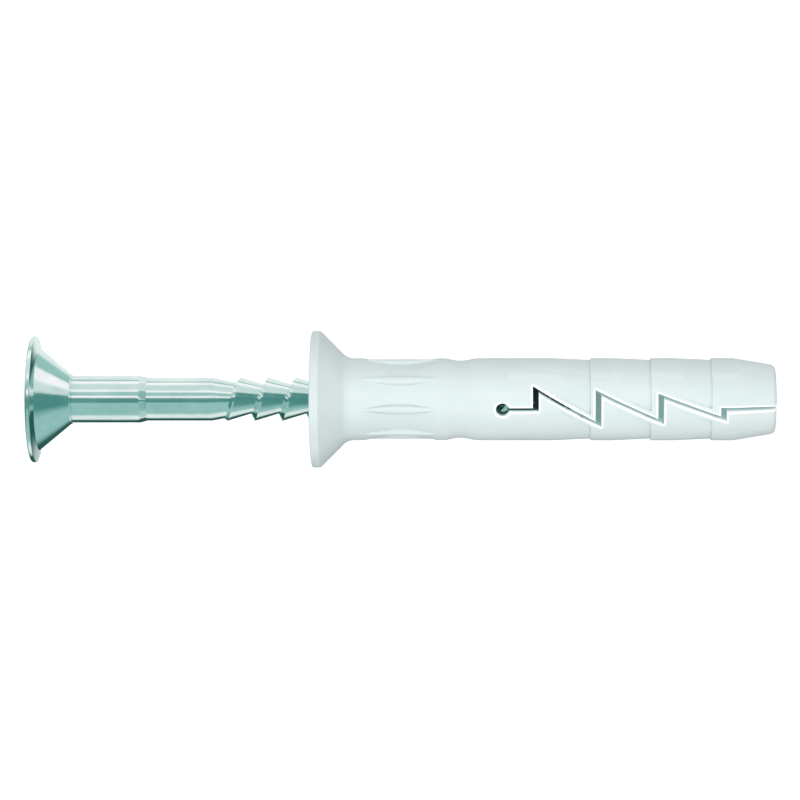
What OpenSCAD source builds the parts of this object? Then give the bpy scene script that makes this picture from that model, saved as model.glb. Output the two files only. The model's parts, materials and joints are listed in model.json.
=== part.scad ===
// Hammer-in wall anchor: a nylon plug with two expansion legs and a drive screw.
// The X axis is the anchor's axis. X = 0 is the collar's front face, +X points into the wall.

/* [Plug] */
// Length from the collar's front face to the tip
plug_len = 45; // [36:0.5:60]
// Outside diameter of the barrel, the same as the drilled hole
plug_d = 8; // [6.6:0.1:10]
// Diameter of the collar
collar_d = 13.3; // [13:0.1:18]
// Thickness of the collar's straight rim
rim_t = 0.93; // [0.6:0.01:1.6]
// Angle of the collar's underside to the axis
collar_angle = 46.5; // [35:0.5:60]
// Radius of the fillet between collar and neck
collar_fillet = 1.5; // [0.4:0.1:2]
// Length of the tapered nose
nose_len = 4.1; // [2:0.1:6]
// Angle of the nose's side to the axis
nose_angle = 9.5; // [4:0.5:16]
// Radius of the round at the end of the nose
nose_round = 0.45; // [0.2:0.05:0.8]

/* [Neck] */
// Where the waist begins
waist_x = 5; // [4.9:0.1:6]
// Length of each of the waist's two tapers
waist_taper = 2.6; // [1.5:0.1:3]
// Length of the waist's narrowest stretch
waist_flat = 2.1; // [1:0.1:3]
// Depth of the waist below the barrel's surface
waist_depth = 0.45; // [0.2:0.05:0.8]
// Number of ribs around the waist
rib_count = 8; // [4:1:12]
// Width of a rib at its middle
rib_w = 0.75; // [0.4:0.05:1.2]
// Distance from the waist to the ring groove
groove_gap = 0.7; // [0.4:0.1:2]
// Width of the ring groove
groove_w = 2.9; // [1.5:0.1:4]
// Depth of the ring groove
groove_depth = 0.25; // [0.1:0.05:0.5]

/* [Barbs] */
// Length from the relief hole to the first barb step
first_barb = 8.5; // [7:0.1:10]
// Distance between barb steps
barb_pitch = 5.85; // [4.5:0.05:8]
// Height of a barb step
barb_h = 0.17; // [0.08:0.01:0.35]
// Length of the taper in front of a barb step
barb_taper = 3.7; // [2:0.1:4.4]

/* [Expansion slot] */
// Length of plain barrel from the ring groove to the relief hole
root_len = 2.67; // [1.5:0.01:5]
// Radius of the relief hole
relief_r = 0.65; // [0.4:0.05:1]
// Width of the straight slot from the relief hole to the first tooth
slot_w = 0.34; // [0.2:0.02:0.6]
// Length from the relief hole's centre to the first tooth
tooth_lead = 2.94; // [1.5:0.01:4]
// Distance between teeth
tooth_pitch = 6.04; // [4.5:0.01:8]
// Width of the slot's upright stretches
step_gap = 0.56; // [0.4:0.01:0.8]
// Height of the slot's sloping stretches, measured upright
slope_gap = 0.35; // [0.2:0.01:0.6]
// Height of the first tooth above the middle
tooth_top = 2.25; // [1.6:0.05:2.6]
// Depth of the first tooth below the middle
tooth_low = 1.9; // [1.4:0.05:2.2]
// How much nearer to the tip the teeth on the far side lie than those on the near side
far_shift = 3.02; // [0:0.01:4]
// How much each tooth is shorter than the one before, at the top and below
tooth_fade = 0.33; // [0.2:0.01:0.4]
// Width of the slit at the tip
tip_slit = 0.42; // [0.2:0.02:0.8]
// How far each leg swings out when the screw is driven home, in degrees
leg_swing = 2.5; // [1:0.1:3]

/* [Drive screw] */
// Length of the screw from the head's front to the point
screw_len = 52; // [46:0.5:70]
// Distance from the collar's face to the head's front before the screw is driven
screw_out = 27.42; // [20:0.01:27.5]
// Diameter of the head
head_d = 12.36; // [10:0.02:12.6]
// Thickness of the head's edge
flange_t = 0.45; // [0.4:0.01:1]
// Diameter where the flange meets the head's cone
flange_inner_d = 10; // [8:0.1:10.8]
// Height of the flange's shallow underside
flange_slope = 0.28; // [0.1:0.02:0.5]
// Angle of the head's cone to the axis
head_angle = 40; // [35:0.5:45]
// Diameter of the shank behind the head
shank_d = 4.56; // [4.4:0.02:4.8]
// Where the shank behind the head ends, from the head's front
shank_end = 10.54; // [8:0.01:12]
// Number of flats on the chamfer between the shanks
flat_count = 14; // [10:1:18]
// Length of the chamfer between the shanks
chamfer_len = 0.75; // [0.5:0.05:1.2]
// Diameter of the thinner shank
thin_shank_d = 4.18; // [3.8:0.02:4.3]
// Where the thinner shank ends, from the head's front
thin_shank_end = 17.67; // [15:0.01:19]
// Length of the thinner shank's run-out
runout_len = 1.27; // [0.8:0.01:2]
// Diameter at the end of the run-out
runout_d = 3.7; // [3.2:0.05:3.9]

/* [Thread] */
// Direction of the thread
thread_hand = "left"; // [left, right]
// Outside diameter of the thread
crest_d = 4.2; // [3.6:0.02:4.4]
// Diameter at the bottom of the thread
root_d = 2.76; // [2.2:0.02:3]
// Distance from thread to thread
thread_pitch = 2.69; // [2:0.01:3.5]
// Length of the thread's steep side
flank_len = 0.3; // [0.1:0.05:0.6]
// Length of the point
point_len = 4; // [2.5:0.1:6]

/* [Cross recess] */
// Diameter of the recess at the head's front
recess_d = 6.4; // [4.5:0.1:7]
// Depth of the recess
recess_depth = 3; // [2:0.1:3.2]
// Width of each wing of the cross
recess_w = 1.15; // [0.8:0.05:1.4]

/* [Clearances] */
// Gap all round between the screw and the plug's bore
bore_gap = 0.07; // [0.05:0.01:0.15]
// Gap all round between the thread and the swung-out legs
leg_gap = 0.12; // [0.08:0.01:0.25]
// Gap between the head and its seat when the screw is driven home
seat_gap = 0.05; // [0.03:0.01:0.1]

/* [Hidden] */

nylon = [0.84, 0.88, 0.88];
zinc = [0.66, 0.77, 0.75];
$fn = 96;
past = 1;
arc_steps = 6;
disc_t = 0.01;
disc_sides = 40;
cavity_steps = 4;
thread_sides = 24;
buried_depth = 0.1;
thread_offset = -0.14;
thread_angle = 77;
point_r = 0.1;
edge_round = 0.12;
bead_h = 0.07;
recess_end_d = 2.4;

plug_r = plug_d / 2;
collar_r = collar_d / 2;
waist_end = waist_x + 2 * waist_taper + waist_flat;
waist_r = plug_r - waist_depth;
groove_x = waist_end + groove_gap;
groove_end = groove_x + groove_w;
hinge_x = groove_end + root_len;
nose_x = plug_len - nose_len;
nose_r = plug_r - nose_len * tan(nose_angle);
barb_x = hinge_x + first_barb;
barb_count = max(0, floor((nose_x - barb_x) / barb_pitch) + 1);

tooth_x = hinge_x + tooth_lead;

head_r = head_d / 2;
shank_r = shank_d / 2;
thin_shank_r = thin_shank_d / 2;
crest_r = crest_d / 2;
root_r = root_d / 2;
cone_x = flange_t + flange_slope;
neck_x = cone_x + (flange_inner_d / 2 - shank_r) / tan(head_angle);
thin_shank_x = shank_end + chamfer_len;
runout_x = thin_shank_end + runout_len;
screw_travel = screw_out - flange_t - seat_gap;
point_x = screw_len - screw_out;

thread_x = runout_x - thread_pitch + thread_offset;
thread_turns = floor((screw_len - point_r - flank_len - thread_x) / thread_pitch);
thread_rows = 2 * thread_turns;

// Points of an arc about a centre, from one angle to another
function arc(centre, r, from, to) =
    [for (i = [0 : arc_steps])
        let (a = from + (to - from) * i / arc_steps)
        centre + r * [cos(a), sin(a)]];

// Turns children from the Z axis to the X axis
module along_x() {
    rotate([0, 90, 0]) children();
}

// A solid of revolution about the X axis, from points of [radius, x]
module lathe(points) {
    along_x() rotate_extrude() polygon(points);
}

// --- plug ---

// Outline of the collar's underside and its fillet into the neck
function collar_outline() =
    let (corner_x = rim_t + (collar_r - plug_r) / tan(collar_angle))
    let (reach = collar_fillet * tan(collar_angle / 2))
    concat(
        [[0, 0], [collar_r, 0], [collar_r, rim_t]],
        arc([plug_r + collar_fillet, corner_x + reach], collar_fillet, 180 + collar_angle, 180)
    );

// Outline of the waist and the ring groove
function neck_outline() = [
    [plug_r, waist_x],
    [waist_r, waist_x + waist_taper],
    [waist_r, waist_x + waist_taper + waist_flat],
    [plug_r, waist_end],
    [plug_r, groove_x],
    [plug_r - groove_depth, groove_x + groove_w / 2],
    [plug_r, groove_end]
];

// Outline of the barrel's barb steps
function barb_outline() = [
    for (i = [0 : 1 : barb_count - 1])
        let (x = barb_x + i * barb_pitch)
        each [[plug_r, x - barb_taper], [plug_r - barb_h, x], [plug_r, x]]
];

// Outline of the tapered nose and its round end
function nose_outline() = concat(
    [[plug_r, nose_x]],
    arc([nose_r - nose_round, plug_len - nose_round], nose_round, nose_angle, 90),
    [[0, plug_len]]
);

// One rib of the waist, lens-shaped when seen from above
module rib() {
    rib_len = waist_end - waist_x;
    bow_r = (rib_len * rib_len / 4 + rib_w * rib_w / 4) / rib_w;
    linear_extrude(plug_r) translate([waist_x + rib_len / 2, 0]) intersection() {
        translate([0, bow_r - rib_w / 2]) circle(bow_r);
        translate([0, rib_w / 2 - bow_r]) circle(bow_r);
    }
}

// The whole plug before it is bored and slotted
module plug_body() {
    lathe(concat(collar_outline(), neck_outline(), barb_outline(), nose_outline()));
    intersection() {
        along_x() cylinder(r = plug_r, h = groove_x);
        for (i = [0 : rib_count - 1]) rotate([90 + i * 360 / rib_count, 0, 0]) rib();
    }
}

// The round hole at the root of the slot, through both sides
module relief_hole() {
    translate([hinge_x, 0, 0]) rotate([90, 0, 0])
        cylinder(r = relief_r, h = 2 * plug_r + past, center = true);
}

// Seat for the head and stepped bore for the two shanks
module screw_bore() {
    narrow_r = max(thin_shank_r, crest_r) + bore_gap;
    wide_r = max(narrow_r, shank_r + bore_gap);
    wide_end = thin_shank_x + screw_travel - screw_out + past;
    seat_r = flange_inner_d / 2 + bore_gap;
    rim_r = head_r + bore_gap;
    seat_end = flange_slope + (seat_r - wide_r) / tan(head_angle);
    lathe([
        [0, -past],
        [rim_r, -past],
        [rim_r, 0],
        [seat_r, flange_slope],
        [wide_r, seat_end],
        [wide_r, wide_end],
        [narrow_r, wide_end],
        [narrow_r, hinge_x + past],
        [0, hinge_x + past]
    ]);
}

module plug_sleeve() {
    color(nylon) difference() {
        plug_body();
        translate([hinge_x, -plug_r - past, -plug_r - past])
            cube([plug_len, 2 * (plug_r + past), 2 * (plug_r + past)]);
        screw_bore();
        relief_hole();
    }
}

// --- expansion legs ---

function peak(i) = tooth_top - i * tooth_fade;
function valley(i) = i * tooth_fade - tooth_low;
function tooth_slope(i) = (valley(i) + slope_gap - peak(i)) / (tooth_pitch + step_gap);

// Number of teeth between the first one and the nose
function tooth_count(first_x) = max(0, floor((nose_x - first_x) / tooth_pitch));

// Where the last tooth ends and the tip's slit begins
function slit_x(first_x) = first_x + tooth_count(first_x) * tooth_pitch;

// Lower edge of the upper leg, from root to tip, with its first tooth at first_x
function upper_edge(first_x) = concat(
    [[hinge_x, slot_w / 2], [first_x, slot_w / 2]],
    [for (i = [0 : 1 : tooth_count(first_x) - 1])
        let (x = first_x + i * tooth_pitch)
        each [[x, peak(i)], [x + tooth_pitch, peak(i) + tooth_slope(i) * tooth_pitch]]],
    [[slit_x(first_x), tip_slit / 2], [plug_len + past, tip_slit / 2]]
);

// Upper edge of the lower leg, from root to tip, with its first tooth at first_x
function lower_edge(first_x) = concat(
    [[hinge_x, -slot_w / 2], [first_x + step_gap, -slot_w / 2]],
    [for (i = [0 : 1 : tooth_count(first_x) - 1])
        let (x = first_x + i * tooth_pitch + step_gap)
        each [[x, peak(i) + tooth_slope(i) * step_gap - slope_gap], [x + tooth_pitch, valley(i)]]],
    [[slit_x(first_x) + step_gap, -tip_slit / 2], [plug_len + past, -tip_slit / 2]]
);

// Everything beyond an edge, away from the slot, in front of y
module leg_half(edge, outer_z, y) {
    translate([0, y, 0]) rotate([90, 0, 0]) linear_extrude(plug_r + past)
        polygon(concat(edge, [[plug_len + past, outer_z], [hinge_x, outer_z]]));
}

// Everything beyond a leg's edges on its near and far side
module leg_side(near_edge, far_edge, outer_z) {
    leg_half(near_edge, outer_z, 0);
    leg_half(far_edge, outer_z, plug_r + past);
}

// How far the upper leg has risen at x when the screw is driven home
function lift_last(x) = (x - hinge_x) * tan(leg_swing);

// How far it has risen at x when the screw's point gets there
function lift_first(x) = lift_last(x) * max(0, x - point_x) / screw_travel;

// Space that the screw takes as it is driven, seen from the upper leg
module leg_cavity() {
    stations = concat(
        [hinge_x - past],
        [for (i = [0 : cavity_steps]) point_x + (plug_len + past - point_x) * i / cavity_steps]
    );
    hull() for (x = stations, lift = [lift_first(x), lift_last(x)])
        translate([x, 0, -lift]) along_x() cylinder(r = crest_r + leg_gap, h = disc_t, $fn = disc_sides);
}

module upper_leg() {
    color(nylon) difference() {
        intersection() {
            plug_body();
            leg_side(upper_edge(tooth_x), upper_edge(tooth_x + far_shift), plug_r + past);
        }
        leg_cavity();
        relief_hole();
    }
}

module lower_leg() {
    color(nylon) difference() {
        intersection() {
            plug_body();
            leg_side(lower_edge(tooth_x), lower_edge(tooth_x + far_shift), -plug_r - past);
        }
        mirror([0, 0, 1]) leg_cavity();
        relief_hole();
    }
}

// --- drive screw, drawn from its head's front at x = 0 ---

module screw_blank() {
    lathe([
        [0, 0],
        [head_r - edge_round, 0],
        [head_r, edge_round],
        [head_r, flange_t - edge_round],
        [head_r - edge_round, flange_t],
        [flange_inner_d / 2, cone_x],
        [shank_r + bead_h, neck_x - bead_h],
        [shank_r + bead_h, neck_x],
        [shank_r, neck_x],
        [shank_r, thin_shank_x],
        [thin_shank_r, thin_shank_x],
        [thin_shank_r, thin_shank_end],
        [runout_d / 2, runout_x],
        [0, runout_x]
    ]);
}

// Flats that step the thick shank down to the thinner one
module chamfer_flats() {
    tilt = atan((shank_r - thin_shank_r) / chamfer_len);
    for (i = [0 : flat_count - 1])
        rotate([i * 360 / flat_count, 0, 0])
            translate([thin_shank_x, 0, thin_shank_r])
                rotate([0, tilt, 0])
                    translate([-2 * chamfer_len, -shank_r, 0])
                        cube([2 * chamfer_len + past, 2 * shank_r, shank_r]);
}

// Cross-shaped recess for the screwdriver
module cross_recess() {
    intersection() {
        translate([-past, 0, 0]) along_x()
            cylinder(d1 = recess_d, d2 = recess_end_d, h = recess_depth + past);
        for (a = [0, 90])
            rotate([a, 0, 0]) translate([-past, -recess_w / 2, -recess_d])
                cube([recess_depth + past, recess_w, 2 * recess_d]);
    }
}

// Radius of the thread at a row, narrowed by the point
function thread_r(row, x) =
    let (wave_r = row < 2 ? root_r - buried_depth : (row % 2 == 0 ? root_r : crest_r))
    min(wave_r, point_r + (screw_len - x) * (crest_r - point_r) / point_len);

// Vertex of the thread. Even rows are roots and odd rows are crests.
function thread_vertex(col, row) =
    let (x = thread_x + thread_pitch * (floor(row / 2) + col / thread_sides) + (row % 2) * flank_len)
    let (a = 360 * col / thread_sides)
    let (r = thread_r(row, x))
    [x, r * cos(a), r * sin(a)];

// Number of a vertex. After a full turn, a column is the first one two rows on.
function vertex_id(col, row) =
    col == thread_sides ? vertex_id(0, row + 2) :
    col == 0 ? row : thread_rows + 2 + (col - 1) * thread_rows + row;

// Threaded core of the screw, with a right-hand thread
module thread_core() {
    last = thread_rows - 1;
    vertices = concat(
        [for (row = [0 : thread_rows + 1]) thread_vertex(0, row)],
        [for (col = [1 : thread_sides - 1], row = [0 : last]) thread_vertex(col, row)],
        [[thread_x, 0, 0], [screw_len, 0, 0]]
    );
    start_id = len(vertices) - 2;
    point_id = len(vertices) - 1;
    sides = [
        for (col = [0 : thread_sides - 1], row = [0 : last - 1])
            let (a = vertex_id(col, row), b = vertex_id(col + 1, row))
            let (c = vertex_id(col + 1, row + 1), d = vertex_id(col, row + 1))
            each [[a, c, b], [a, d, c]]
    ];
    start_ring = concat([for (col = [0 : thread_sides]) vertex_id(col, 0)], [1, 0]);
    point_ring = concat([for (col = [0 : thread_sides]) vertex_id(col, last)], [last + 1, last]);
    start_cap = [for (i = [0 : len(start_ring) - 2]) [start_id, start_ring[i], start_ring[i + 1]]];
    point_cap = [for (i = [0 : len(point_ring) - 2]) [point_id, point_ring[i + 1], point_ring[i]]];
    polyhedron(vertices, concat(sides, start_cap, point_cap));
}

module thread() {
    rotate([thread_angle, 0, 0])
        if (thread_hand == "left") mirror([0, 1, 0]) thread_core();
        else thread_core();
}

module drive_screw() {
    color(zinc) translate([-screw_out, 0, 0]) {
        difference() {
            screw_blank();
            chamfer_flats();
            cross_recess();
        }
        thread();
    }
}

plug_sleeve();
upper_leg();
lower_leg();
drive_screw();
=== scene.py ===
"""Hammer-in wall anchor: a nylon plug with two expansion legs, and a zinc-plated drive screw part-way in.

Lengths are in millimetres until a mesh is made.
Angles around the plug run from the front (-Y) over the top (+Z).
"""

import json
import math

import bmesh
import bpy
import numpy as np
from mathutils import Matrix, Vector
from mathutils.geometry import delaunay_2d_cdt


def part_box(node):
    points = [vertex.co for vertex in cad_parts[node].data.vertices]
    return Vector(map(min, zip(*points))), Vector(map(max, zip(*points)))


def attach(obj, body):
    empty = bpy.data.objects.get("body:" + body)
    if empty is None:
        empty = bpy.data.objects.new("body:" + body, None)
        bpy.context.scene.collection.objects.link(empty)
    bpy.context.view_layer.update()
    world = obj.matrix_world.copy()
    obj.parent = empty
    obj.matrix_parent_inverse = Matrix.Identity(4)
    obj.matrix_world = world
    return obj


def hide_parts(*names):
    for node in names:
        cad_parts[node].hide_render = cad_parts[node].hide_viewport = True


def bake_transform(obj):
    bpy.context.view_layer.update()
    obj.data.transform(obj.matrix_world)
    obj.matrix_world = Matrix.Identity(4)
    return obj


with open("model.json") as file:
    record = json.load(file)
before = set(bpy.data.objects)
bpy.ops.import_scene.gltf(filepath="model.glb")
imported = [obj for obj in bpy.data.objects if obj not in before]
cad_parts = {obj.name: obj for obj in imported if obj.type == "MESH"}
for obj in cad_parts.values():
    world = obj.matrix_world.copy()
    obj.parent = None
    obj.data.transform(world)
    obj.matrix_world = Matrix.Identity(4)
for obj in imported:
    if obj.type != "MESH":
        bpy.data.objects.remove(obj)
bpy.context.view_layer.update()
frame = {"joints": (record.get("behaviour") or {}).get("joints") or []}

MM = 0.001


def cad_limit(node, corner, axis):
    """A coordinate of a CAD node's box, in millimetres."""
    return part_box(node)[corner][axis] / MM


# Sizes that the CAD model decides
PLUG_LEN = cad_limit("upper_leg", 1, 0)
PLUG_R = cad_limit("upper_leg", 1, 2)
ROOT_X = cad_limit("plug_sleeve", 1, 0)
COLLAR_R = cad_limit("plug_sleeve", 1, 2)
HEAD_X = cad_limit("drive_screw", 0, 0)
POINT_X = cad_limit("drive_screw", 1, 0)
HEAD_R = cad_limit("drive_screw", 1, 2)
DRIVE = next(j for j in frame["joints"] if j["name"] == "screw_drive")["range_m"][1] / MM
SWING = math.radians(next(j for j in frame["joints"] if j["name"] == "upper_leg_swing")["range_deg"][1])

# Plug, front to tip
RIM_T = 0.93
COLLAR_ANGLE = math.radians(46.5)
COLLAR_FILLET = 1.5
RIM_EDGE = 0.16
WAIST = (5.0, 7.6, 9.7, 12.3)
WAIST_DEPTH = 0.45
GROOVE = (13.0, 14.1, 14.8, 15.9)
GROOVE_DEPTH = 0.24
NECK_SOFTNESS = 0.35
RIB_COUNT = 8
RIB_TOP = 0.1
RIB_FOOT = 0.42
RIB_ROUND = 3
BARB_COUNT = 3
BARB_LEN = 5.85
FIRST_BARB = ROOT_X + 8.5
BARBS = [FIRST_BARB + BARB_LEN * i for i in range(BARB_COUNT)]
BARB_H = 0.17
BARB_TAPER = 3.7
BARB_STEP = 0.02
NOSE_LEN = 4.1
NOSE_ANGLE = math.radians(9.5)
NOSE_ROUND = 0.45

# Slot
RELIEF_R = 0.65
SLOT_W = 0.34
TOOTH_X = ROOT_X + 2.94
TOOTH_PITCH = 6.04
FAR_SHIFT = 3.02
STEP_GAP = 0.56
SLOPE_GAP = 0.35
TOOTH_TOP = 2.25
TOOTH_LOW = 1.9
TOOTH_FADE = 0.33
TIP_SLIT = 0.42
LIP_W = 0.45
LIP_STEP = 0.05
# Painted highlight: a pale band beside the edges of the slot and the relief hole, with these fades and the
# width below
HIGHLIGHT_FADE_IN = 0.05
HIGHLIGHT_FADE_OUT = 0.02
EDGE_ROUND = 0.1
HIGHLIGHT_BAND_W = 0.2
EDGE_LINES = (EDGE_ROUND * 0.35, EDGE_ROUND, HIGHLIGHT_BAND_W - HIGHLIGHT_FADE_IN, HIGHLIGHT_BAND_W + HIGHLIGHT_FADE_OUT)
# Painted shade in the legs' bore: deepest for this length from the root, fading over the next, and mostly
# lifted beyond it
DARK_LEN = 6.2
DARK_FADE = 0.8
LIT_SHARE = 0.78
PATCH_LEN = 1.4

# Bore
SEAT_R = 5.07
SEAT_ANGLE = math.radians(40)
SEAT_SLOPE = 0.28
WIDE_BORE_R = 2.35
WIDE_BORE_END = 11.79
NARROW_BORE_R = 2.17
LEG_BORE_R = 2.22
BORE_STEP = 0.15
SEAT_GAP = 0.07
FOLD_SINE = 0.98

# Drive screw, from the head's front
FLANGE_T = 0.45
FLANGE_INNER_R = 5.0
FLANGE_SLOPE = 0.28
HEAD_ANGLE = math.radians(40)
SHANK_R = 2.28
SHANK_END = 10.54
FLAT_COUNT = 14
CHAMFER_LEN = 0.75
THIN_SHANK_R = 2.09
THIN_SHANK_END = 17.67
RUNOUT_SLOPE = 0.2
CREST_R = 2.1
ROOT_R = 1.38
PITCH = 2.69
FIRST_CREST = 19.12
FIRST_CREST_ANGLE = math.radians(-74.5)
FADE_TURN = 0.3
STEEP_LEN = 0.3
POINT_LEN = 4.0
RECESS_R = 3.2
RECESS_END_R = 1.2
RECESS_DEPTH = 3.0
RECESS_W = 1.15
FACE_R = 5.3
RIM_ROUND = 0.18
UNDER_ROUND = 0.1
BEAD = 0.07
CREST_W = 0.015
TIP_R = 0.05

# Mesh density
LEG_AROUND = 160
NECK_AROUND = 480
STEP = 0.22
THREAD_AROUND = 120

# Colours, as light
NYLON_COOL = (0.60, 0.68, 0.68)
NYLON_WARM = (0.63, 0.71, 0.71)
# Pale flow streaks, and the painted highlight on convex edges
NYLON_STREAK_AND_HIGHLIGHT = (0.68, 0.74, 0.74)
NYLON_SPECK = (0.60, 0.69, 0.69)
# Painted highlight along the edges of the slot and the relief hole
NYLON_EDGE_HIGHLIGHT = (0.98, 0.99, 0.99)
# Painted shade on the cut walls of the slot and relief hole
NYLON_WALL_SHADE = (0.56, 0.68, 0.68)
# Colour and strength of a painted glow on the cut walls
NYLON_WALL_GLOW = (0.7, 1.0, 0.98)
WALL_GLOW_STRENGTH = 0.12
# Painted shade deep inside the bore
NYLON_BORE_SHADE = (0.08, 0.20, 0.18)
# Painted shade in concave creases
NYLON_CREASE_SHADE = (0.42, 0.52, 0.53)
ZINC_COOL = (0.81, 0.875, 0.86)
ZINC_BRIGHT = (0.93, 0.965, 0.955)
# Painted shade in the screw's concave corners
ZINC_CORNER_SHADE = (0.42, 0.52, 0.50)
FLOOR_LIGHT = (0.94, 0.94, 0.94)
FLOOR_SHADE = (0.92, 0.92, 0.92)

# Floor, in metres
FLOOR_SIZE = 4.0
FLOOR_Z = -0.06
FLOOR_GLOW = 0.3

# Tones of the studio's panels, as display values
WHITE = (255, 255, 255)
PALE = (230, 242, 240)
SOFT = (205, 225, 222)
TEAL = (150, 195, 190)
DEEP = (80, 140, 135)
DARK = (45, 90, 85)

# Panels that gloss sees: from and to an angle around the anchor's axis, where 0 is the front and 90 the top
SIDE_PANELS = (
    (-180, -165, PALE),
    (-150, -115, DARK),
    (-100, -80, PALE),
    (-65, -5, TEAL),
    (0, 20, DEEP),
    (25, 30, WHITE),
    (35, 50, TEAL),
    (55, 60, WHITE),
    (65, 95, SOFT),
    (100, 115, WHITE),
    (120, 125, TEAL),
    (130, 180, PALE),
)
END_PANELS = (
    (-180, -140, DARK),
    (-110, -60, TEAL),
    (-30, 45, DEEP),
    (50, 85, SOFT),
    (95, 120, WHITE),
    (125, 180, TEAL),
)
END_FROM = 0.3
END_TO = 0.5

# Soft light that matt surfaces see: one large box in front, and the room
FRONT_GLOW = 1.9
ROOM_GLOW = 0.6
GLOW_PANELS = ((-180, -60, ROOM_GLOW), (-20, 40, FRONT_GLOW), (90, 180, ROOM_GLOW))

# Camera
LENS = 176.7
SENSOR = 36.0
CAMERA_RISE = 15.5
CAMERA_REACH = 382.5
CAMERA_X = 22.3
CAMERA_TARGET = (8.55, 0, -0.08)


def smooth(value, low, high):
    """0 below low, 1 above high, and a smooth rise between them."""
    t = np.clip((np.asarray(value, float) - low) / (high - low), 0, 1)
    return t * t * (3 - 2 * t)


def arc(centre, radius, start, end, steps=6):
    """Points of an arc about (x, r), angles in radians from the x axis."""
    angles = [start + (end - start) * i / steps for i in range(steps + 1)]
    return [(centre[0] + radius * math.cos(a), centre[1] + radius * math.sin(a)) for a in angles]


def new_object(name, vertices, faces, crease=math.radians(32)):
    """A mesh object from millimetre vertices, welded, facing outwards and smooth between its creases."""
    mesh = bpy.data.meshes.new(name)
    mesh.from_pydata([Vector(v) * MM for v in vertices], [], faces)
    bm = bmesh.new()
    bm.from_mesh(mesh)
    bmesh.ops.remove_doubles(bm, verts=bm.verts, dist=2e-7)
    bmesh.ops.dissolve_degenerate(bm, edges=bm.edges, dist=1e-8)
    bmesh.ops.recalc_face_normals(bm, faces=bm.faces)
    for face in bm.faces:
        face.smooth = True
    bm.to_mesh(mesh)
    bm.free()
    mesh.set_sharp_from_angle(angle=crease)
    piece = bpy.data.objects.new(name, mesh)
    bpy.context.scene.collection.objects.link(piece)
    return piece


# ---- nylon plug: shape ----


def at(r, angle, x):
    """The point at radius r, at an angle from the front over the top."""
    return (x, -r * math.cos(angle), r * math.sin(angle))


def body_radius(x):
    """Radius of the plug behind its collar, without ribs and lips."""
    barb_x, barb_r = [], []
    for step in BARBS:
        barb_x += [step - BARB_TAPER, step - BARB_STEP, step]
        barb_r += [PLUG_R, PLUG_R - BARB_H, PLUG_R]
    nose_x = PLUG_LEN - NOSE_LEN
    xs = [0, WAIST[0], WAIST[1], WAIST[2], WAIST[3], *GROOVE, *barb_x, nose_x, PLUG_LEN]
    waist_r = PLUG_R - WAIST_DEPTH
    groove_r = PLUG_R - GROOVE_DEPTH
    rs = [PLUG_R, PLUG_R, waist_r, waist_r, PLUG_R, PLUG_R, groove_r, groove_r, PLUG_R, *barb_r, PLUG_R]
    rs.append(PLUG_R - NOSE_LEN * math.tan(NOSE_ANGLE))
    return np.interp(x, xs, rs)


def soft_body_radius(x):
    """The neck's radius with its bends rounded, and the barrel's own radius beyond the groove."""
    spread = np.linspace(-NECK_SOFTNESS, NECK_SOFTNESS, 9)
    rounded = np.mean([body_radius(x + dx) for dx in spread], axis=0)
    return np.where(np.asarray(x) < GROOVE[3] + 0.6, rounded, body_radius(x))


def rib_radius(x, angle):
    """Radius of the ribs, which stand out of the waist with a crowned top and steep sides."""
    turn = 2 * math.pi / RIB_COUNT
    off = np.abs((angle + turn / 2) % turn - turn / 2) * PLUG_R
    depth = PLUG_R - float(body_radius(x))
    half_w = RIB_TOP + (RIB_FOOT - RIB_TOP) * depth / WAIST_DEPTH
    crown = 1 - np.minimum(1, off / half_w) ** RIB_ROUND
    return np.where((x > WAIST[0]) & (x < WAIST[3]), PLUG_R - depth + depth * crown ** (1 / RIB_ROUND), 0)


def collar_profile():
    """(x, r) points of the collar, from its front face to the neck."""
    corner_x = RIM_T + (COLLAR_R - PLUG_R) / math.tan(COLLAR_ANGLE)
    reach = COLLAR_FILLET * math.tan(COLLAR_ANGLE / 2)
    front = arc((RIM_EDGE, COLLAR_R - RIM_EDGE), RIM_EDGE, math.pi, math.pi / 2)
    back_centre = (RIM_T - RIM_EDGE, COLLAR_R - RIM_EDGE)
    back = arc(back_centre, RIM_EDGE, math.pi / 2, math.pi / 2 - COLLAR_ANGLE)
    centre = (corner_x + reach, PLUG_R + COLLAR_FILLET)
    fillet = arc(centre, COLLAR_FILLET, math.pi * 1.5 - COLLAR_ANGLE, math.pi * 1.5, 10)
    return front + back + fillet


def peak(i):
    """Height of a tooth's start."""
    return TOOTH_TOP - i * TOOTH_FADE


def valley(i):
    """Height of a tooth's end, before the gap is added."""
    return i * TOOTH_FADE - TOOTH_LOW


def tooth_slope(i):
    """Rise of a tooth's long edge for each millimetre along the plug."""
    return (valley(i) + SLOPE_GAP - peak(i)) / (TOOTH_PITCH + STEP_GAP)


def slot_edge(side, first_x):
    """(x, z) corners of the slot's edge on the upper (1) or lower (-1) leg, and the pairs that are slopes."""
    count = math.floor((PLUG_LEN - NOSE_LEN - first_x) / TOOTH_PITCH)
    start = math.sqrt(RELIEF_R**2 - (SLOT_W / 2) ** 2)
    shift = 0 if side > 0 else STEP_GAP
    drop = 0 if side > 0 else SLOPE_GAP
    points = [(ROOT_X + start, side * SLOT_W / 2), (first_x + shift, side * SLOT_W / 2)]
    slopes = []
    for i in range(count):
        x = first_x + i * TOOTH_PITCH
        for end in (x + shift, x + TOOTH_PITCH + shift):
            points.append((end, peak(i) + tooth_slope(i) * (end - x) - drop))
        slopes.append((points[-2], points[-1]))
    slit_x = first_x + count * TOOTH_PITCH + shift
    points += [(slit_x, side * TIP_SLIT / 2), (PLUG_LEN, side * TIP_SLIT / 2)]
    return points, slopes


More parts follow.
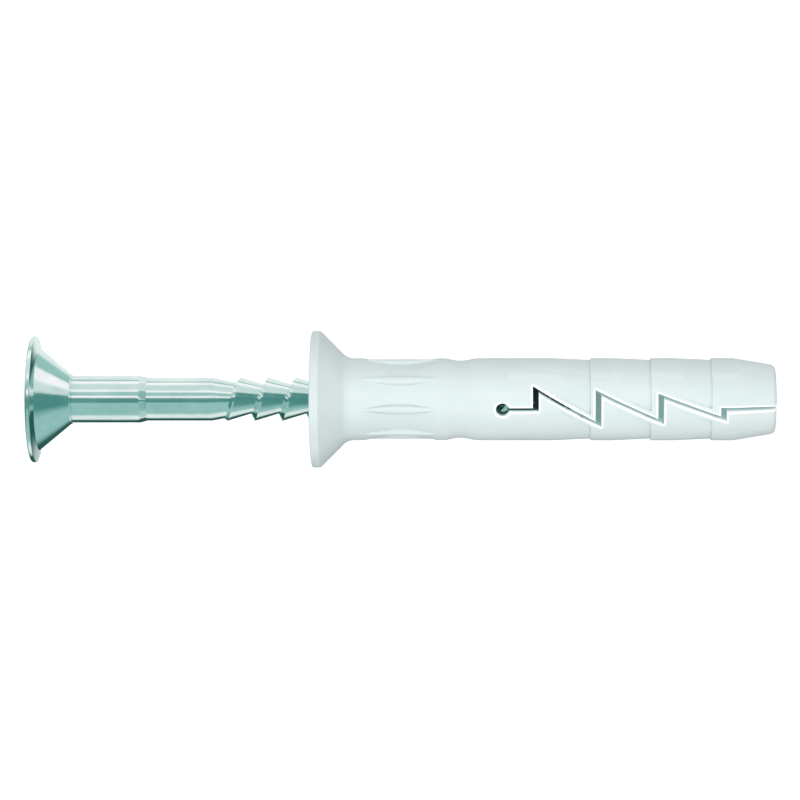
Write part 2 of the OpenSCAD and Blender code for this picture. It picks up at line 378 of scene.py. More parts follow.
def unroll(point):
    """(x, z) on the plug's front to (x, distance around the barrel)."""
    return (point[0], PLUG_R * math.asin(max(-1, min(1, point[1] / PLUG_R))))


def subdivide(points, step=STEP):
    """A polyline with no stretch longer than step."""
    out = [points[0]]
    for a, b in zip(points, points[1:]):
        count = max(1, math.ceil(math.dist(a, b) / step))
        for k in range(1, count + 1):
            out.append((a[0] + (b[0] - a[0]) * k / count, a[1] + (b[1] - a[1]) * k / count))
    return out


def offset(points, distance):
    """A polyline moved sideways, to its left when distance is above 0, with mitred corners."""
    p = np.array(points, float)
    d = np.diff(p, axis=0)
    n = np.stack([-d[:, 1], d[:, 0]], 1) / np.linalg.norm(d, axis=1)[:, None]
    before = np.vstack([n[:1], n])
    after = np.vstack([n, n[-1:]])
    mitre = before + after
    mitre /= np.maximum(0.35, np.sum(mitre * before, axis=1))[:, None]
    return [tuple(q) for q in p + mitre * distance]


def distance_to(points, polylines):
    """Distance from each point to the nearest stretch of any polyline."""
    p = np.array(points, float)
    best = np.full(len(p), 1e9)
    for line in polylines:
        for a, b in zip(line, line[1:]):
            a, b = np.array(a), np.array(b)
            ab = b - a
            t = np.clip(((p - a) @ ab) / max(1e-12, ab @ ab), 0, 1)
            best = np.minimum(best, np.linalg.norm(p - a - t[:, None] * ab, axis=1))
    return best


def inside(points, outline):
    """Which points lie within a closed outline."""
    p = np.array(points, float)
    result = np.zeros(len(p), bool)
    for a, b in zip(outline, outline[1:] + outline[:1]):
        crosses = (a[1] > p[:, 1]) != (b[1] > p[:, 1])
        with np.errstate(divide="ignore", invalid="ignore"):
            x = a[0] + (p[:, 1] - a[1]) * (b[0] - a[0]) / (b[1] - a[1])
        result ^= crosses & (p[:, 0] < x)
    return result


def fill(outline, lines, grid):
    """Triangles inside a closed outline, with lines kept as edges and grid points between them."""
    everything = lines + [outline + outline[:1]]
    keep = inside(grid, outline) & (distance_to(grid, everything) > 0.3 * STEP)
    vertices = [Vector(p) for p in outline]
    faces = [list(range(len(outline)))]
    edges = []
    for line in lines:
        start = len(vertices)
        vertices += [Vector(p) for p in line]
        edges += [(start + i, start + i + 1) for i in range(len(line) - 1)]
    vertices += [Vector(p) for p, k in zip(grid, keep) if k]
    found = delaunay_2d_cdt(vertices, edges, faces, 1, 1e-5)
    return [tuple(v) for v in found[0]], [list(f) for f in found[2]]


def grid_points(x_low, x_high, s_low, s_high):
    """A regular grid of (x, s) points."""
    xs = np.linspace(x_low, x_high, max(2, round((x_high - x_low) / STEP)) + 1)
    count = max(2, round((s_high - s_low) / (2 * math.pi * PLUG_R / LEG_AROUND)))
    ss = np.linspace(s_low, s_high, count + 1)
    return [(x, s) for x in xs for s in ss]


def shell(flat, faces, outer, inner):
    """Vertices and faces of a wall between an outer and an inner surface over the same flat triangles."""
    count = len(flat)
    vertices = [outer(i) for i in range(count)] + [inner(i) for i in range(count)]
    uses = {}
    for f in faces:
        for a, b in zip(f, f[1:] + f[:1]):
            uses[(a, b)] = True
    walls = [[b, a, a + count, b + count] for a, b in uses if (b, a) not in uses]
    backs = [[i + count for i in reversed(f)] for f in faces]
    return vertices, faces + backs + walls


def fold(angle):
    """The bore's angle at the same height as an angle on the outside, for walls cut straight through."""
    ratio = PLUG_R / LEG_BORE_R
    limit = math.asin(FOLD_SINE / ratio)
    near = math.pi / 2 - np.abs(math.pi / 2 - np.abs(angle))
    straight = np.arcsin(np.clip(ratio * np.sin(near), -FOLD_SINE, FOLD_SINE))
    last = math.asin(FOLD_SINE)
    rest = last + (near - limit) * (math.pi / 2 - last) / (math.pi / 2 - limit)
    turned = np.where(near > limit, rest, straight)
    return np.sign(angle) * np.where(np.abs(angle) > math.pi / 2, math.pi - turned, turned)


def edge_drop(distance):
    """How far a rounded edge falls below its surface, at a distance from the edge."""
    gone = np.clip(EDGE_ROUND - distance, 0, EDGE_ROUND)
    return EDGE_ROUND - np.sqrt(EDGE_ROUND**2 - gone**2)


def leg_bore_radius(x, angle, side):
    """Radius of a leg's bore, shaped to the screw's path as the leg swings away from it."""
    up = np.sin(angle) * side
    last = np.maximum(0, x - ROOT_X) * math.tan(SWING)
    first = last * np.maximum(0, x - POINT_X) / DRIVE

    def reach(lift):
        """Radius that clears the screw when the leg has moved outwards by lift."""
        return -lift * up + np.sqrt(np.maximum(0.01, LEG_BORE_R**2 - (lift * np.cos(angle)) ** 2))

    return np.maximum(reach(first), reach(last))


def mark(piece, name, points, strength):
    """Stores a value on the vertices that lie at some points."""
    from_3d = {tuple(round(c, 3) for c in p): s for p, s in zip(points, strength)}
    layer = piece.data.attributes.new(name, "FLOAT", "POINT")
    values = [from_3d.get(tuple(round(c / MM, 3) for c in v.co), 0.0) for v in piece.data.vertices]
    layer.data.foreach_set("value", values)


def edge_highlight_band(edge):
    """How much of a point gets the painted highlight, a pale band beside a moulded edge."""
    return 1 - smooth(edge, HIGHLIGHT_BAND_W - HIGHLIGHT_FADE_IN, HIGHLIGHT_BAND_W + HIGHLIGHT_FADE_OUT)


def make_leg(name, side):
    """One expansion leg, from the root beside the relief hole to the tip."""
    start = math.asin(SLOT_W / 2 / RELIEF_R)
    hole = [
        (ROOT_X + RELIEF_R * math.cos(a), side * RELIEF_R * math.sin(a))
        for a in np.linspace(math.pi / 2, start, 9)
    ]
    half_turn = math.pi * PLUG_R

    def far(line):
        """A line of the near side mirrored to the far side."""
        return [(x, side * half_turn - s) for x, s in line]

    near_corners, near_slopes = slot_edge(side, TOOTH_X)
    far_corners, far_slopes = slot_edge(side, TOOTH_X + FAR_SHIFT)
    front = subdivide([unroll(p) for p in hole[:-1] + subdivide(near_corners)])
    back = far(subdivide([unroll(p) for p in hole[:-1] + subdivide(far_corners)]))
    across = subdivide([front[-1], back[-1]])[1:-1]
    root = subdivide([back[0], front[0]])[1:-1]
    outline = front + across + back[::-1] + root
    near_lines = [[unroll(p) for p in subdivide(pair)] for pair in near_slopes]
    far_lines = [far([unroll(p) for p in subdivide(pair)]) for pair in far_slopes]
    lines = []
    for shift in EDGE_LINES:
        lines.append(clip_inside(offset(front, side * shift), outline))
        lines.append(clip_inside(offset(back, -side * shift), outline))
    for shift in (LIP_W, LIP_W + LIP_STEP):
        lines += [clip_inside(offset(line, side * shift), outline) for line in near_lines]
        lines += [clip_inside(offset(line, -side * shift), outline) for line in far_lines]
    low, high = sorted((-side * 0.6 * PLUG_R, side * (half_turn + 0.6 * PLUG_R)))
    rings = [b - d for b in BARBS for d in (0, BARB_STEP, BARB_TAPER)]
    rings += [PLUG_LEN - NOSE_LEN] + [PLUG_LEN - NOSE_ROUND * f for f in (1, 0.6, 0.3, 0.1)]
    lines += [clip_inside(subdivide([(x, low), (x, high)]), outline) for x in rings]
    lines = [line for line in lines if len(line) > 1]
    flat, faces = fill(outline, lines, grid_points(ROOT_X, PLUG_LEN, low, high))

    xs = np.array([p[0] for p in flat])
    angles = np.array([p[1] for p in flat]) / PLUG_R
    edge = distance_to(flat, [front, back])
    slope = distance_to(flat, near_lines + far_lines)
    radius = body_radius(xs)
    lip = 1 - smooth(slope, LIP_W, LIP_W + LIP_STEP)
    radius = np.where(xs < PLUG_LEN - NOSE_LEN, radius + (PLUG_R - radius) * lip, radius)
    round_x = np.clip(xs - (PLUG_LEN - NOSE_ROUND), 0, NOSE_ROUND)
    radius = radius - (NOSE_ROUND - np.sqrt(NOSE_ROUND**2 - round_x**2))
    radius = radius - edge_drop(edge)
    inner_angles = fold(angles)
    bore = leg_bore_radius(xs, inner_angles, side)
    outer = [at(r, a, x) for r, a, x in zip(radius, angles, xs)]
    inner = [at(r, a, x) for r, a, x in zip(bore, inner_angles, xs)]
    vertices, faces = shell(flat, faces, lambda i: outer[i], lambda i: inner[i])
    piece = new_object(name, vertices, faces)
    # Painted highlight beside the slot's edges
    mark(piece, "moulded_edge_highlight", outer, edge_highlight_band(edge))
    # Painted shade on the walls and in the bore, deepest near the root
    lit = smooth(xs, ROOT_X + DARK_LEN, ROOT_X + DARK_LEN + DARK_FADE)
    mark(piece, "inside", inner, 1 - LIT_SHARE * lit)
    return piece


def clip_inside(line, outline):
    """The longest run of a polyline that lies inside an outline."""
    flags = inside(line, outline)
    best, run = [], []
    for point, flag in zip(line, flags):
        run = run + [point] if flag else []
        if len(run) > len(best):
            best = run
    return best


def bore_profile():
    """(x, r) points of the sleeve's bore, from its front face to the root."""
    seat_end = SEAT_SLOPE + (SEAT_R - WIDE_BORE_R) / math.tan(SEAT_ANGLE)
    return [
        (0, HEAD_R + SEAT_GAP),
        (SEAT_SLOPE, SEAT_R),
        (seat_end, WIDE_BORE_R),
        (WIDE_BORE_END, WIDE_BORE_R),
        (WIDE_BORE_END + BORE_STEP, NARROW_BORE_R),
        (ROOT_X, NARROW_BORE_R),
    ]


def ring_faces(rows, around, first=0):
    """Quads between neighbouring rings."""
    faces = []
    for i in range(rows - 1):
        for j in range(around):
            k = (j + 1) % around
            a, b = first + i * around, first + (i + 1) * around
            faces.append([a + j, a + k, b + k, b + j])
    return faces


def make_sleeve():
    """The plug's collar, neck and plain barrel, up to the middle of the relief hole."""
    patch_x = ROOT_X - PATCH_LEN
    outside = subdivide(collar_profile() + [(patch_x, PLUG_R)], STEP)
    angles = np.arange(NECK_AROUND) * 2 * math.pi / NECK_AROUND
    vertices, faces = [], []
    for x, r in outside:
        ring = np.full(NECK_AROUND, r)
        if r <= PLUG_R + 1e-6 and x > WAIST[0] - 0.4:
            ring = np.maximum(soft_body_radius(x), rib_radius(x, angles))
        vertices += [at(q, a, x) for q, a in zip(ring, angles)]
    faces += ring_faces(len(outside), NECK_AROUND)
    first = len(vertices)
    bore = subdivide(bore_profile()[:-1] + [(patch_x, NARROW_BORE_R)], 0.6)
    for x, r in bore:
        vertices += [at(r, a, x) for a in angles]
    inside_points = vertices[first:]
    faces += ring_faces(len(bore), NECK_AROUND, first)
    for j in range(NECK_AROUND):
        k = (j + 1) % NECK_AROUND
        faces.append([j, k, first + k, first + j])

    half_turn = math.pi * PLUG_R
    quarter = np.linspace(-math.pi / 2, math.pi / 2, 17)
    notch = [unroll((ROOT_X - RELIEF_R * math.cos(a), RELIEF_R * math.sin(a))) for a in quarter]
    count = NECK_AROUND // 2
    highlight_marks = []
    for centre in (0, half_turn):
        hole = [(x, s + centre) for x, s in notch]
        low, high = centre - half_turn / 2, centre + half_turn / 2
        front = [(patch_x, high - half_turn * k / count) for k in range(count + 1)]
        up = subdivide([(patch_x, low), (ROOT_X, low)])[1:-1]
        down = subdivide([(ROOT_X, high), (patch_x, high)])[1:-1]
        below = subdivide([(ROOT_X, low), hole[0]])
        above = subdivide([hole[-1], (ROOT_X, high)])
        outline = front + up + below + hole[1:-1] + above + down
        rings = [clip_inside(offset(hole, shift), outline) for shift in EDGE_LINES]
        rings = [ring for ring in rings if len(ring) > 1]
        flat, found = fill(outline, rings, grid_points(patch_x, ROOT_X, low, high))
        xs = np.array([p[0] for p in flat])
        around = np.array([p[1] for p in flat]) / PLUG_R
        edge = distance_to(flat, [hole])
        radius = body_radius(xs) - edge_drop(edge)
        share = smooth(xs, patch_x, ROOT_X - RELIEF_R)
        folded = fold(around - centre / PLUG_R) + centre / PLUG_R
        inner_angles = around + (folded - around) * share
        outer = [at(r, a, x) for r, a, x in zip(radius, around, xs)]
        inner = [at(NARROW_BORE_R, a, x) for a, x in zip(inner_angles, xs)]
        # Painted highlight beside the relief hole's edges
        highlight_marks += list(zip(outer, edge_highlight_band(edge)))
        inside_points += inner
        patch, patch_faces = shell(flat, found, lambda i: outer[i], lambda i: inner[i])
        joined = [f for f in patch_faces if not on_seam(f, patch, patch_x)]
        start = len(vertices)
        vertices += patch
        faces += [[start + i for i in f] for f in joined]
    piece = new_object("sleeve_shell", vertices, faces)
    mark(piece, "moulded_edge_highlight", [m[0] for m in highlight_marks], [m[1] for m in highlight_marks])
    # Painted shade in the bore, growing deeper behind the front face
    mark(piece, "inside", inside_points, [float(smooth(p[0], 2.0, 6.0)) for p in inside_points])
    return piece


def on_seam(face, vertices, patch_x):
    """Whether a wall between the shell's two surfaces lies where patches join each other."""
    if len(face) != 4:
        return False
    xs = [vertices[i][0] for i in face]
    ys = [abs(vertices[i][1]) for i in face]
    return max(abs(x - patch_x) for x in xs) < 1e-4 or max(ys) < 1e-4


# ---- drive screw: shape ----


def screw_profile():
    """(x, r) points from the edge of the head's recess to the chamfer between the shanks."""
    cone_x = FLANGE_T + FLANGE_SLOPE
    neck_x = cone_x + (FLANGE_INNER_R - SHANK_R) / math.tan(HEAD_ANGLE)
    rim = arc((RIM_ROUND, HEAD_R - RIM_ROUND), RIM_ROUND, math.pi, math.pi / 2)
    under = arc((FLANGE_T - UNDER_ROUND, HEAD_R - UNDER_ROUND), UNDER_ROUND, math.pi / 2, 0.2)
    seam = arc((neck_x - BEAD, SHANK_R + BEAD), BEAD, math.pi / 2, 0, 3)
    return (
        [(0, FACE_R)]
        + rim
        + under
        + [(cone_x, FLANGE_INNER_R), (neck_x - 2 * BEAD, SHANK_R + 2 * BEAD)]
        + seam
        + [(neck_x + 0.02, SHANK_R), (SHANK_END - 0.3, SHANK_R)]
    )


def flat_radius(x, angle):
    """Radius of the thick shank's faceted end."""
    turn = 2 * math.pi / FLAT_COUNT
    off = (angle + turn / 2) % turn - turn / 2
    t = (x - SHANK_END) / CHAMFER_LEN
    apothem = SHANK_R + (THIN_SHANK_R - SHANK_R) * t
    return np.minimum(SHANK_R, apothem / np.cos(off))


def thread_share(turn, lag):
    """How far the saw-tooth has replaced the run-out, on one turn and a share of the way around."""
    if turn == -1:
        return float(smooth(lag, 1 - FADE_TURN, 1))
    return 0.0 if turn < -1 else 1.0


def thread_point(col, turn, part):
    """A point of the thread: col steps around, and turn whole turns and a part after the first crest."""
    lag = col / THREAD_AROUND
    steep = STEEP_LEN / PITCH
    last_x = POINT_X - HEAD_X - TIP_R
    x = min(max(FIRST_CREST + (turn + part + lag) * PITCH, THIN_SHANK_END), last_x)
    runout = max(ROOT_R, THIN_SHANK_R - RUNOUT_SLOPE * (x - THIN_SHANK_END))
    slope = float(np.interp(part, [0, CREST_W, 1 - steep], [CREST_R, CREST_R - 0.003, ROOT_R]))
    radius = runout + (slope - runout) * thread_share(turn, lag)
    if part > 1 - steep:
        rise = (part - 1 + steep) / steep
        crest = runout + (CREST_R - runout) * thread_share(turn + 1, lag)
        radius += (crest - radius) * rise
    cone = TIP_R + (last_x - x) * (CREST_R - TIP_R) / POINT_LEN
    return at(min(radius, cone), FIRST_CREST_ANGLE + lag * 2 * math.pi, x + HEAD_X)


def make_thread(start):
    """Vertices and faces of the thread, on a grid that leans with its helix."""
    steep = STEEP_LEN / PITCH
    parts = [0, CREST_W, *np.linspace(0.1, 1 - steep, 8), 1 - steep * 0.75, 1 - steep * 0.5, 1 - steep * 0.25]
    first_turn = -3
    turns = math.ceil((POINT_X - HEAD_X - FIRST_CREST) / PITCH) + 1
    rows = [(turn, part) for turn in range(first_turn, turns) for part in parts]
    vertices = [thread_point(col, *row) for col in range(THREAD_AROUND + 1) for row in rows]
    faces = []
    for col in range(THREAD_AROUND):
        for row in range(len(rows) - 1):
            a = start + col * len(rows) + row
            b = a + len(rows)
            faces.append([a, b, b + 1, a + 1])
    end_ring = [start + col * len(rows) + len(rows) - 1 for col in range(THREAD_AROUND)]
    faces.append(end_ring)
    return vertices, faces


def recess_ring(radius, x):
    """The cross's outline at one depth: four wing ends and four inner corners."""
    half_w = RECESS_W / 2
    reach = math.sqrt(max(half_w**2, radius**2 - half_w**2))
    points = []
    for k in range(4):
        a = k * math.pi / 2
        side = [(reach, -half_w), (reach + half_w * 0.12, 0), (reach, half_w), (half_w * 1.25, half_w * 1.25)]
        points += [(p * math.cos(a) - q * math.sin(a), p * math.sin(a) + q * math.cos(a)) for p, q in side]
    return [(x + HEAD_X, y, z) for y, z in points]


def make_recess():
    """The head's front face, slightly dished towards a cross recess, as its own grid of rings."""
    vertices, faces = [], []
    depths = [0, 0.05, 0.12] + [RECESS_DEPTH * t for t in (0.2, 0.4, 0.6, 0.8, 0.95, 1)]
    spread = [0.12, 0.03, 0] + [0] * 5 + [-0.12]
    rings = []
    for depth, wide in zip(depths, spread):
        radius = RECESS_R + (RECESS_END_R - RECESS_R) * depth / RECESS_DEPTH + wide
        rings.append(recess_ring(radius, depth))
    count = len(rings[0])
    for ring in rings:
        vertices += ring
    for i in range(len(rings) - 1):
        for j in range(count):
            k = (j + 1) % count
            faces.append([i * count + j, i * count + k, (i + 1) * count + k, (i + 1) * count + j])
    faces.append([(len(rings) - 1) * count + j for j in range(count)])
    return vertices, faces, rings[0]


def face_between(ring, circle_r, rings_of_points):
    """The flat front between the cross's outline and the head's edge, as triangles."""
    outer = [(circle_r * math.cos(a), circle_r * math.sin(a)) for a in rings_of_points]
    inner = [(p[1], p[2]) for p in ring]
    vertices = [Vector(p) for p in outer] + [Vector(p) for p in inner]
    n, m = len(outer), len(inner)
    edges = [(n + j, n + (j + 1) % m) for j in range(m)]
    found = delaunay_2d_cdt(vertices, edges, [list(range(n))], 1, 1e-6)
    flat = [tuple(v) for v in found[0]]
    keep = []
    for f in found[2]:
        centre = [sum(flat[i][c] for i in f) / len(f) for c in (0, 1)]
        if not inside([centre], inner)[0]:
            keep.append(list(f))
    return [(HEAD_X, y, z) for y, z in flat], keep


def make_screw():
    """The drive screw: head with its recess, two shanks, faceted chamfer, thread and point."""
    angles = FIRST_CREST_ANGLE + np.arange(THREAD_AROUND) * 2 * math.pi / THREAD_AROUND
    rings = [(x, np.full(THREAD_AROUND, r)) for x, r in subdivide(screw_profile(), 0.5)]
    chamfer_end = SHANK_END + CHAMFER_LEN
    rings += [(x, flat_radius(x, angles)) for x in np.linspace(SHANK_END - 0.1, chamfer_end - 0.01, 14)]
    rings += [(x, np.full(THREAD_AROUND, THIN_SHANK_R)) for x in np.linspace(chamfer_end, THIN_SHANK_END, 12)]
    vertices = [at(r, a, x + HEAD_X) for x, radii in rings for r, a in zip(radii, angles)]
    faces = ring_faces(len(rings), THREAD_AROUND)
    thread, thread_faces = make_thread(len(vertices))
    vertices += thread
    faces += thread_faces
    recess, recess_faces, mouth = make_recess()
    start = len(vertices)
    vertices += recess
    faces += [[start + i for i in f] for f in recess_faces]
    around = [math.atan2(math.sin(a), -math.cos(a)) for a in angles]
    front, front_faces = face_between(mouth, FACE_R, around)
    start = len(vertices)
    vertices += front
    faces += [[start + i for i in f] for f in front_faces]
    return new_object("screw", vertices, faces, math.radians(28))


# ---- materials ----


def new_material(name):
    """A node material, its node tree, its principled shader and its object coordinates."""
    material = bpy.data.materials.new(name)
    material.use_nodes = True
    tree = material.node_tree
    shader = tree.nodes["Principled BSDF"]
    place = tree.nodes.new("ShaderNodeTexCoord").outputs["Object"]
    return material, tree, shader, place


def scaled_noise(tree, place, scale, detail=3.0, rough=0.55):
    """Noise with its own number of features per metre along X, Y and Z."""
    mapping = tree.nodes.new("ShaderNodeMapping")
    mapping.inputs["Scale"].default_value = scale
    noise = tree.nodes.new("ShaderNodeTexNoise")
    noise.inputs["Scale"].default_value = 1.0
    noise.inputs["Detail"].default_value = detail
    noise.inputs["Roughness"].default_value = rough
    tree.links.new(place, mapping.inputs["Vector"])
    tree.links.new(mapping.outputs["Vector"], noise.inputs["Vector"])
    return noise.outputs["Fac"]


def ranged(tree, value, low, high, new_low, new_high):
    """A value mapped smoothly from one range to another."""
    node = tree.nodes.new("ShaderNodeMapRange")
    node.interpolation_type = "SMOOTHSTEP"
    for key, number in (("From Min", low), ("From Max", high), ("To Min", new_low), ("To Max", new_high)):
        node.inputs[key].default_value = number
    tree.links.new(value, node.inputs["Value"])
    return node.outputs["Result"]


def combined(tree, operation, first, second):
    """A maths node on two values, the second of which may be a number."""
    node = tree.nodes.new("ShaderNodeMath")
    node.operation = operation
    node.use_clamp = operation != "ADD"
    tree.links.new(first, node.inputs[0])
    if isinstance(second, (int, float)):
        node.inputs[1].default_value = second
    else:
        tree.links.new(second, node.inputs[1])
    return node.outputs["Value"]


def mixed(tree, share, first, second):
    """A colour between two others, each a colour or another node's output."""
    node = tree.nodes.new("ShaderNodeMix")
    node.data_type = "RGBA"
    tree.links.new(share, node.inputs["Factor"])
    for socket, colour in ((node.inputs[6], first), (node.inputs[7], second)):
        if isinstance(colour, tuple):
            socket.default_value = (*colour, 1)
        else:
            tree.links.new(colour, socket)
    return node.outputs[2]


def bumped(tree, height, distance, strength, below=None):
    """A bump normal from a height, on top of another one where given."""
    node = tree.nodes.new("ShaderNodeBump")
    node.inputs["Strength"].default_value = strength
    node.inputs["Distance"].default_value = distance
    tree.links.new(height, node.inputs["Height"])
    if below is not None:
        tree.links.new(below, node.inputs["Normal"])
    return node.outputs["Normal"]


def sharpness(tree):
    """How convex the surface is: 0.5 where flat, more on edges, less in corners."""
    return tree.nodes.new("ShaderNodeNewGeometry").outputs["Pointiness"]


def away_from_root(tree, place):
    """0 where the sleeve's mesh meets the legs', 1 elsewhere, so that their joint doesn't show as an edge."""
    split = tree.nodes.new("ShaderNodeSeparateXYZ")
    tree.links.new(place, split.inputs["Vector"])
    shifted = combined(tree, "ADD", split.outputs["X"], -ROOT_X * MM)
    gap = tree.nodes.new("ShaderNodeMath")
    gap.operation = "ABSOLUTE"
    tree.links.new(shifted, gap.inputs[0])
    return ranged(tree, gap.outputs["Value"], 0.0003, 0.0006, 0, 1)


def make_nylon():
    """Pale nylon: cloudy tint, flow streaks and fine grain, a little light under the skin, painted highlights
    on convex edges and beside the moulded edges, painted shade in creases, on cut walls and in the bore, and
    a painted glow on the cut walls.
    """
    material, tree, shader, place = new_material("nylon")
    clouds = scaled_noise(tree, place, (140, 260, 260))
    streaks = scaled_noise(tree, place, (90, 1300, 1300), 2.0)
    grain = scaled_noise(tree, place, (5200, 5200, 5200), 2.0)
    specks = scaled_noise(tree, place, (2600, 2600, 2600), 1.0)
    tint = mixed(tree, ranged(tree, clouds, 0.3, 0.7, 0, 1), NYLON_COOL, NYLON_WARM)
    tint = mixed(tree, ranged(tree, streaks, 0.45, 0.75, 0, 0.35), tint, NYLON_STREAK_AND_HIGHLIGHT)
    tint = mixed(tree, ranged(tree, specks, 0.72, 0.8, 0, 0.4), tint, NYLON_SPECK)
    # Painted highlight on convex edges, patchy with the clouds and left off the joint with the legs
    convex_highlight = combined(tree, "MULTIPLY", ranged(tree, sharpness(tree), 0.52, 0.62, 0, 1), clouds)
    convex_highlight = combined(tree, "MULTIPLY", convex_highlight, away_from_root(tree, place))
    tint = mixed(tree, convex_highlight, tint, NYLON_STREAK_AND_HIGHLIGHT)
    # Painted shade in concave creases and corners
    tint = mixed(tree, ranged(tree, sharpness(tree), 0.42, 0.49, 0.85, 0), tint, NYLON_CREASE_SHADE)
    # Painted highlight along the moulded edges, read from a vertex attribute
    edge = tree.nodes.new("ShaderNodeAttribute")
    edge.attribute_name = "moulded_edge_highlight"
    tint = mixed(tree, edge.outputs["Fac"], tint, NYLON_EDGE_HIGHLIGHT)
    # Painted shade on the cut walls, and deeper painted shade inside the bore, from the inside attribute
    inner = tree.nodes.new("ShaderNodeAttribute")
    inner.attribute_name = "inside"
    tint = mixed(tree, ranged(tree, inner.outputs["Fac"], 0.02, 0.14, 0, 1), tint, NYLON_WALL_SHADE)
    tint = mixed(tree, ranged(tree, inner.outputs["Fac"], 0.25, 0.4, 0, 1), tint, NYLON_BORE_SHADE)
    tree.links.new(tint, shader.inputs["Base Color"])
    # Painted glow: the cut walls and the lighter parts of the legs' bore give off light, faint where the
    # painted shade is deep
    wall_glow = ranged(tree, inner.outputs["Fac"], 0.02, 0.14, 0, WALL_GLOW_STRENGTH)
    glow_outside_deep_shade = ranged(tree, inner.outputs["Fac"], 0.25, 0.4, 1, 0.04)
    tree.links.new(combined(tree, "MULTIPLY", wall_glow, glow_outside_deep_shade), shader.inputs["Emission Strength"])
    shader.inputs["Emission Color"].default_value = (*NYLON_WALL_GLOW, 1)
    tree.links.new(ranged(tree, streaks, 0.3, 0.7, 0.42, 0.58), shader.inputs["Roughness"])
    fine = bumped(tree, grain, 0.00001, 0.35)
    tree.links.new(bumped(tree, streaks, 0.00002, 0.2, fine), shader.inputs["Normal"])
    shader.inputs["IOR"].default_value = 1.5
    shader.inputs["Specular IOR Level"].default_value = 0.25
    shader.inputs["Subsurface Weight"].default_value = 0.06
    shader.inputs["Subsurface Radius"].default_value = (0.0002, 0.00022, 0.00022)
    shader.inputs["Subsurface Scale"].default_value = 1.0
    return material


def make_zinc():
    """Bright zinc plating: fine drawn lines along the shank, mottling, small pits, and painted shade in
    concave corners.
    """
    material, tree, shader, place = new_material("zinc_plated_steel")
    mottle = scaled_noise(tree, place, (420, 700, 700), 4.0)
    drawn = scaled_noise(tree, place, (120, 5200, 5200), 3.0)
    pits = scaled_noise(tree, place, (3800, 3800, 3800), 2.0)
    tint = mixed(tree, ranged(tree, mottle, 0.3, 0.7, 0, 1), ZINC_COOL, ZINC_BRIGHT)
    # Painted shade in concave corners
    tint = mixed(tree, ranged(tree, sharpness(tree), 0.36, 0.48, 0.7, 0), tint, ZINC_CORNER_SHADE)
    tree.links.new(tint, shader.inputs["Base Color"])
    lines = ranged(tree, drawn, 0.35, 0.7, 0.07, 0.16)
    dull = ranged(tree, mottle, 0.5, 0.75, 0, 0.08)
    tree.links.new(combined(tree, "ADD", lines, dull), shader.inputs["Roughness"])
    fine = bumped(tree, drawn, 0.000006, 0.25)
    tree.links.new(bumped(tree, pits, 0.000004, 0.2, fine), shader.inputs["Normal"])
    shader.inputs["Metallic"].default_value = 1.0
    return material


# ---- room: floor, light, camera ----


def linear(*colour):
    """A colour written in 0 to 255 display values, as light."""
    return tuple((c / 255) ** 2.2 for c in colour)


def make_floor():
    """A wide pale floor well below the anchor, which hangs in the air above it."""
    mesh = bpy.data.meshes.new("floor")
    corners = [(-1, -1), (1, -1), (1, 1), (-1, 1)]
    mesh.from_pydata([(x * FLOOR_SIZE, y * FLOOR_SIZE, FLOOR_Z) for x, y in corners], [], [(0, 1, 2, 3)])
    floor = bpy.data.objects.new("floor", mesh)
    bpy.context.scene.collection.objects.link(floor)
    material, tree, shader, place = new_material("floor_paper")
    fibres = scaled_noise(tree, place, (900, 900, 900), 3.0)
    tint = mixed(tree, ranged(tree, fibres, 0.3, 0.7, 0, 1), FLOOR_LIGHT, FLOOR_SHADE)
    tree.links.new(tint, shader.inputs["Base Color"])
    shader.inputs["Roughness"].default_value = 0.9
    shader.inputs["Specular IOR Level"].default_value = 0.0
    shader.inputs["Emission Color"].default_value = (1, 1, 1, 1)
    shader.inputs["Emission Strength"].default_value = FLOOR_GLOW
    mesh.materials.append(material)
    floor.visible_diffuse = False
    floor.visible_glossy = False
    floor.visible_transmission = False


def angle_ramp(tree, angle, panels):
    """A colour by the angle around the axis, from (low, high, colour) panels with blends between them."""
    stops = [(degrees, colour) for low, high, colour in panels for degrees in (low, high)]
    share = tree.nodes.new("ShaderNodeMapRange")
    for key, number in (("From Min", -math.pi), ("From Max", math.pi), ("To Min", 0), ("To Max", 1)):
        share.inputs[key].default_value = number
    tree.links.new(angle, share.inputs["Value"])
    ramp = tree.nodes.new("ShaderNodeValToRGB")
    tree.links.new(share.outputs["Result"], ramp.inputs["Fac"])
    elements = ramp.color_ramp.elements
    while len(elements) > 1:
        elements.remove(elements[-1])
    elements[0].position = 0
    elements[0].color = (*stops[0][1], 1)
    for degrees, colour in stops[1:]:
        elements.new((degrees + 180) / 360).color = (*colour, 1)
    return ramp.outputs["Color"]


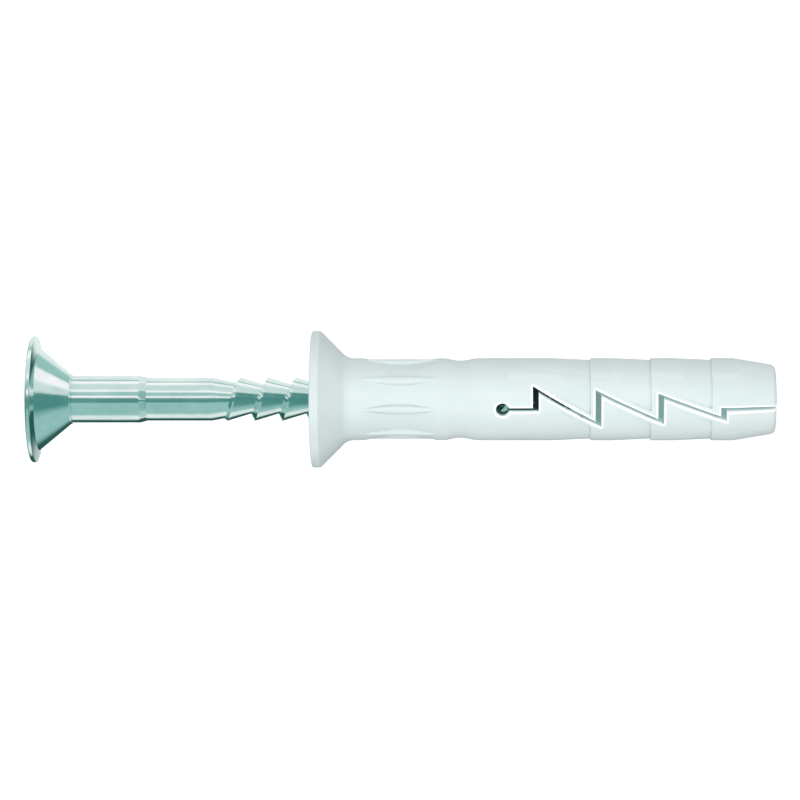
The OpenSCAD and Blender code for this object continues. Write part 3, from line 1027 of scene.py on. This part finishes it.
def make_light():
    """Soft studio light: long panels that run along the anchor, seen by gloss, and one soft box in front."""
    world = bpy.data.worlds.new("studio")
    bpy.context.scene.world = world
    world.use_nodes = True
    tree = world.node_tree
    direction = tree.nodes.new("ShaderNodeTexCoord").outputs["Generated"]
    split = tree.nodes.new("ShaderNodeSeparateXYZ")
    tree.links.new(direction, split.inputs["Vector"])
    towards = tree.nodes.new("ShaderNodeMath")
    towards.operation = "MULTIPLY"
    towards.inputs[1].default_value = -1.0
    tree.links.new(split.outputs["Y"], towards.inputs[0])
    around = tree.nodes.new("ShaderNodeMath")
    around.operation = "ARCTAN2"
    tree.links.new(split.outputs["Z"], around.inputs[0])
    tree.links.new(towards.outputs["Value"], around.inputs[1])
    angle = around.outputs["Value"]
    sides = angle_ramp(tree, angle, [(low, high, linear(*tone)) for low, high, tone in SIDE_PANELS])
    ends = angle_ramp(tree, angle, [(low, high, linear(*tone)) for low, high, tone in END_PANELS])
    endwise = tree.nodes.new("ShaderNodeMath")
    endwise.operation = "ABSOLUTE"
    tree.links.new(split.outputs["X"], endwise.inputs[0])
    endwise = endwise.outputs["Value"]
    panels = mixed(tree, ranged(tree, endwise, END_FROM, END_TO, 0, 1), sides, ends)
    glow = angle_ramp(tree, angle, [(low, high, (level, level, level)) for low, high, level in GLOW_PANELS])
    glow = mixed(tree, ranged(tree, endwise, END_FROM, 1, 0, 1), glow, (ROOM_GLOW, ROOM_GLOW, ROOM_GLOW))
    ray = tree.nodes.new("ShaderNodeLightPath")
    shown = mixed(tree, ray.outputs["Is Glossy Ray"], glow, panels)
    shown = mixed(tree, ray.outputs["Is Camera Ray"], shown, (1.0, 1.0, 1.0))
    background = tree.nodes["Background"]
    background.inputs["Strength"].default_value = 1.0
    tree.links.new(shown, background.inputs["Color"])


def make_camera():
    """A long lens in front of the anchor and a little above it, kept level with the anchor's axis."""
    camera = bpy.data.objects.new("camera", bpy.data.cameras.new("camera"))
    bpy.context.scene.collection.objects.link(camera)
    camera.data.lens = LENS
    camera.data.sensor_width = SENSOR
    camera.data.clip_start = 0.01
    camera.data.clip_end = 10
    tilt = math.radians(CAMERA_RISE)
    place = Vector((CAMERA_X, -CAMERA_REACH * math.cos(tilt), CAMERA_REACH * math.sin(tilt))) * MM
    forward = (Vector(CAMERA_TARGET) * MM - place).normalized()
    along = Vector((1, 0, 0))
    right = (along - along.dot(forward) * forward).normalized()
    up = right.cross(forward)
    turn = Matrix((right, up, -forward)).transposed().to_4x4()
    camera.matrix_world = Matrix.Translation(place) @ turn
    bpy.context.scene.camera = camera
    bpy.context.scene.view_settings.view_transform = "Standard"


# ---- assembly ----

make_camera()
make_light()
make_floor()

nylon = make_nylon()
zinc = make_zinc()

sleeve = make_sleeve()
sleeve.data.materials.append(nylon)
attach(sleeve, "sleeve")
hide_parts("plug_sleeve")

for leg_name, leg_side in (("upper_leg", 1), ("lower_leg", -1)):
    leg = make_leg(leg_name + "_shell", leg_side)
    leg.data.materials.append(nylon)
    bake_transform(leg)
    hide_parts(leg_name)

sleeve.visible_glossy = False

screw = make_screw()
screw.data.materials.append(zinc)
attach(screw, "screw")
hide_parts("drive_screw")
